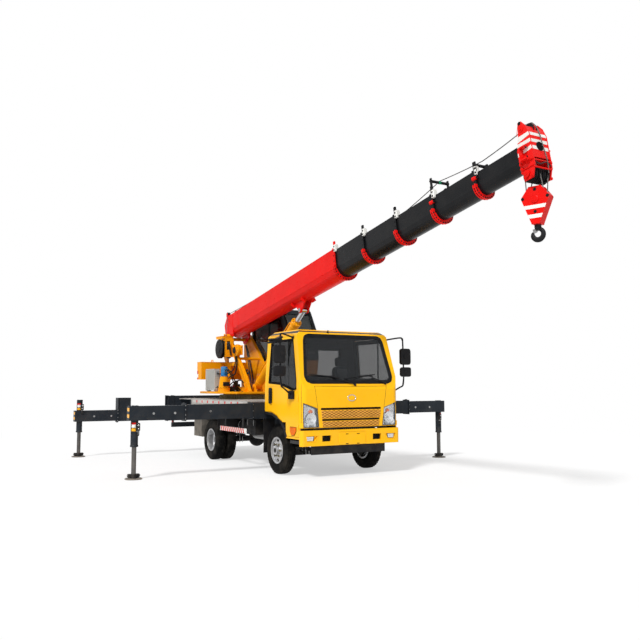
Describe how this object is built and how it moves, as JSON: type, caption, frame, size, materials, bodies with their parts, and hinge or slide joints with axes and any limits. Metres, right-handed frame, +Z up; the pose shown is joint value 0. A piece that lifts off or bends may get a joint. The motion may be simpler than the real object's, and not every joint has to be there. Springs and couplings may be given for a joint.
{
  "type": "truck-mounted mobile crane",
  "caption": "Truck-mounted telescopic crane with a tilting cab, slewing superstructure, luffing and telescoping boom, hook block and extending outriggers with jacks.",
  "frame": {"origin": "on the ground under the middle of the whole crane's box", "axes": "+X the vehicle's left, +Y its rear, +Z up; the cab and boom head face -Y"},
  "size_m": [6.526, 10.0502, 4.5419],
  "materials": {
    "yellow_paint": "gloss",
    "red_paint": "gloss",
    "black_paint": "gloss",
    "anthracite_paint": "satin",
    "grey_deck": "satin",
    "black_frame": "satin",
    "wheel_silver": "satin",
    "rubber": "matte",
    "steel": "satin",
    "chrome_rod": "polished",
    "window_glass": "polished",
    "lamp_glass": "polished",
    "dark_plastic": "matte",
    "seat_grey": "matte"
  },
  "bodies": {
    "chassis": {"chassis_frame": "black_frame", "axles": "black_frame", "fuel_tank": "black_frame", "deck": "grey_deck", "outrigger_boxes": "anthracite_paint", "guards": "dark_plastic", "slewing_ring": "steel", "front_bumper": "yellow_paint"},
    "cab": {"cab_shell": "yellow_paint", "cab_glass": "window_glass", "cab_interior": "seat_grey", "headlamps": "lamp_glass"},
    "superstructure": {"turret": "yellow_paint", "counterweight": "yellow_paint", "drives": "yellow_paint", "oil_cooler": "grey_deck", "operator_cab": "yellow_paint", "operator_glass": "window_glass"},
    "operator_door": {"operator_door": "yellow_paint", "operator_door_glass": "window_glass"},
    "winch": {"winch_drum": "black_paint"},
    "luff_barrel": {"luff_cylinder": "yellow_paint"},
    "luff_rod": {"luff_rod": "chrome_rod"},
    "boom_1": {"boom_base": "red_paint"},
    "head_sheaves": {"head_sheaves": "steel"},
    "hook_block": {"hook_block": "red_paint"},
    "hook": {"hook": "steel"},
    "boom_2": {"boom_section_2": "black_paint"},
    "boom_3": {"boom_section_3": "black_paint"},
    "boom_4": {"boom_section_4": "black_paint"},
    "boom_5": {"boom_section_5": "black_paint"},
    "boom_6": {"boom_section_6": "black_paint"},
    "knuckle_left": {"knuckle_left": "black_frame"},
    "wheel_front_left": {"tyre_front_left": "rubber", "rim_front_left": "wheel_silver"},
    "wheel_rear_left": {"tyres_rear_left": "rubber", "rims_rear_left": "wheel_silver"},
    "door_left": {"door_left": "yellow_paint", "door_glass_left": "window_glass", "mirror_left": "dark_plastic"},
    "knuckle_right": {"knuckle_right": "black_frame"},
    "wheel_front_right": {"tyre_front_right": "rubber", "rim_front_right": "wheel_silver"},
    "wheel_rear_right": {"tyres_rear_right": "rubber", "rims_rear_right": "wheel_silver"},
    "door_right": {"door_right": "yellow_paint", "door_glass_right": "window_glass", "mirror_right": "dark_plastic"},
    "outrigger_one_front_right": {"outrigger_one_front_right": "anthracite_paint"},
    "outrigger_two_front_right": {"outrigger_two_front_right": "anthracite_paint"},
    "jack_front_right": {"jack_front_right": "chrome_rod"},
    "outrigger_one_front_left": {"outrigger_one_front_left": "anthracite_paint"},
    "outrigger_two_front_left": {"outrigger_two_front_left": "anthracite_paint"},
    "jack_front_left": {"jack_front_left": "chrome_rod"},
    "outrigger_one_rear_right": {"outrigger_one_rear_right": "anthracite_paint"},
    "outrigger_two_rear_right": {"outrigger_two_rear_right": "anthracite_paint"},
    "jack_rear_right": {"jack_rear_right": "chrome_rod"},
    "outrigger_one_rear_left": {"outrigger_one_rear_left": "anthracite_paint"},
    "outrigger_two_rear_left": {"outrigger_two_rear_left": "anthracite_paint"},
    "jack_rear_left": {"jack_rear_left": "chrome_rod"}
  },
  "joints": [
    {"name": "steer_left", "type": "hinge", "parent": "chassis", "child": "knuckle_left", "pos_m": [0.64, 0.06508, 0.3875], "axis": [0, 0, 1], "range_deg": [-32, 32]},
    {"name": "spin_front_left", "type": "hinge", "parent": "knuckle_left", "child": "wheel_front_left", "pos_m": [0.838, 0.06508, 0.3875], "axis": [1, 0, 0], "continuous": true},
    {"name": "spin_rear_left", "type": "hinge", "parent": "chassis", "child": "wheel_rear_left", "pos_m": [0.8, 2.81508, 0.3875], "axis": [1, 0, 0], "continuous": true},
    {"name": "steer_right", "type": "hinge", "parent": "chassis", "child": "knuckle_right", "pos_m": [-0.64, 0.06508, 0.3875], "axis": [0, 0, 1], "range_deg": [-32, 32]},
    {"name": "spin_front_right", "type": "hinge", "parent": "knuckle_right", "child": "wheel_front_right", "pos_m": [-0.838, 0.06508, 0.3875], "axis": [1, 0, 0], "continuous": true},
    {"name": "spin_rear_right", "type": "hinge", "parent": "chassis", "child": "wheel_rear_right", "pos_m": [-0.8, 2.81508, 0.3875], "axis": [1, 0, 0], "continuous": true},
    {"name": "cab_tilt", "type": "hinge", "parent": "chassis", "child": "cab", "pos_m": [0, -0.76492, 0.79], "axis": [1, 0, 0], "range_deg": [0, 45]},
    {"name": "door_left_hinge", "type": "hinge", "parent": "cab", "child": "door_left", "pos_m": [0.938, -0.71192, 1.2], "axis": [0, 0, -1], "range_deg": [0, 68]},
    {"name": "door_right_hinge", "type": "hinge", "parent": "cab", "child": "door_right", "pos_m": [-0.938, -0.71192, 1.2], "axis": [0, 0, 1], "range_deg": [0, 68]},
    {"name": "slew", "type": "hinge", "parent": "chassis", "child": "superstructure", "pos_m": [0, 3.21508, 1.262], "axis": [0, 0, 1], "continuous": true},
    {"name": "operator_door_hinge", "type": "hinge", "parent": "superstructure", "child": "operator_door", "pos_m": [1.032, 2.98208, 2], "axis": [0, 0, 1], "range_deg": [0, 80]},
    {"name": "winch_spin", "type": "hinge", "parent": "superstructure", "child": "winch", "pos_m": [-0.36, 3.67508, 2.228], "axis": [1, 0, 0], "continuous": true},
    {"name": "luff", "type": "hinge", "parent": "superstructure", "child": "boom_1", "pos_m": [0, 3.86508, 2.45], "axis": [-1, 0, 0], "range_deg": [-9.5, 65]},
    {"name": "luff_barrel_pivot", "type": "hinge", "parent": "superstructure", "child": "luff_barrel", "pos_m": [0, 2.81508, 1.43], "axis": [-1, 0, 0], "range_deg": [-8.6, 57.6]},
    {"name": "luff_rod_slide", "type": "slide", "parent": "luff_barrel", "child": "luff_rod", "axis": [0, -0.8201, 0.5722], "range_m": [-0.24, 1.64]},
    {"name": "telescope_2", "type": "slide", "parent": "boom_1", "child": "boom_2", "axis": [0, -0.9863, 0.165], "range_m": [-0.72, 2.3]},
    {"name": "telescope_3", "type": "slide", "parent": "boom_2", "child": "boom_3", "axis": [0, -0.9863, 0.165], "range_m": [-0.72, 2.3]},
    {"name": "telescope_4", "type": "slide", "parent": "boom_3", "child": "boom_4", "axis": [0, -0.9863, 0.165], "range_m": [-0.72, 2.3]},
    {"name": "telescope_5", "type": "slide", "parent": "boom_4", "child": "boom_5", "axis": [0, -0.9863, 0.165], "range_m": [-0.72, 2.3]},
    {"name": "telescope_6", "type": "slide", "parent": "boom_5", "child": "boom_6", "axis": [0, -0.9863, 0.165], "range_m": [-0.72, 2.3]},
    {"name": "fall_swing", "type": "hinge", "parent": "boom_6", "child": "head_sheaves", "pos_m": [0, -4.84745, 3.88567], "axis": [-1, 0, 0], "range_deg": [-65, 9.5]},
    {"name": "hoist", "type": "slide", "parent": "head_sheaves", "child": "hook_block", "axis": [0, 0, -1], "range_m": [-0.02, 6]},
    {"name": "hook_swivel", "type": "hinge", "parent": "hook_block", "child": "hook", "pos_m": [0, -4.84745, 3.31067], "axis": [0, 0, 1], "continuous": true},
    {"name": "extend_one_front_right", "type": "slide", "parent": "chassis", "child": "outrigger_one_front_right", "axis": [-1, 0, 0], "range_m": [-1.163, 0]},
    {"name": "extend_two_front_right", "type": "slide", "parent": "outrigger_one_front_right", "child": "outrigger_two_front_right", "axis": [-1, 0, 0], "range_m": [-0.731, 0]},
    {"name": "lower_jack_front_right", "type": "slide", "parent": "outrigger_two_front_right", "child": "jack_front_right", "axis": [0, 0, -1], "range_m": [-0.41, 0.08]},
    {"name": "extend_one_front_left", "type": "slide", "parent": "chassis", "child": "outrigger_one_front_left", "axis": [1, 0, 0], "range_m": [-1.163, 0]},
    {"name": "extend_two_front_left", "type": "slide", "parent": "outrigger_one_front_left", "child": "outrigger_two_front_left", "axis": [1, 0, 0], "range_m": [-0.731, 0]},
    {"name": "lower_jack_front_left", "type": "slide", "parent": "outrigger_two_front_left", "child": "jack_front_left", "axis": [0, 0, -1], "range_m": [-0.41, 0.08]},
    {"name": "extend_one_rear_right", "type": "slide", "parent": "chassis", "child": "outrigger_one_rear_right", "axis": [-1, 0, 0], "range_m": [-1.061, 0]},
    {"name": "extend_two_rear_right", "type": "slide", "parent": "outrigger_one_rear_right", "child": "outrigger_two_rear_right", "axis": [-1, 0, 0], "range_m": [-0.693, 0]},
    {"name": "lower_jack_rear_right", "type": "slide", "parent": "outrigger_two_rear_right", "child": "jack_rear_right", "axis": [0, 0, -1], "range_m": [-0.41, 0.08]},
    {"name": "extend_one_rear_left", "type": "slide", "parent": "chassis", "child": "outrigger_one_rear_left", "axis": [1, 0, 0], "range_m": [-1.061, 0]},
    {"name": "extend_two_rear_left", "type": "slide", "parent": "outrigger_one_rear_left", "child": "outrigger_two_rear_left", "axis": [1, 0, 0], "range_m": [-0.693, 0]},
    {"name": "lower_jack_rear_left", "type": "slide", "parent": "outrigger_two_rear_left", "child": "jack_rear_left", "axis": [0, 0, -1], "range_m": [-0.41, 0.08]}
  ],
  "couplings": [
    {"joint": "steer_right", "follows": "steer_left", "ratio": 1},
    {"joint": "luff_barrel_pivot", "follows": "luff", "ratio": 0.883},
    {"joint": "luff_rod_slide", "follows": "luff", "m_per_rad": 1.44},
    {"joint": "fall_swing", "follows": "luff", "ratio": -1},
    {"joint": "telescope_3", "follows": "telescope_2", "ratio": 1},
    {"joint": "telescope_4", "follows": "telescope_2", "ratio": 1},
    {"joint": "telescope_5", "follows": "telescope_2", "ratio": 1},
    {"joint": "telescope_6", "follows": "telescope_2", "ratio": 1}
  ]
}
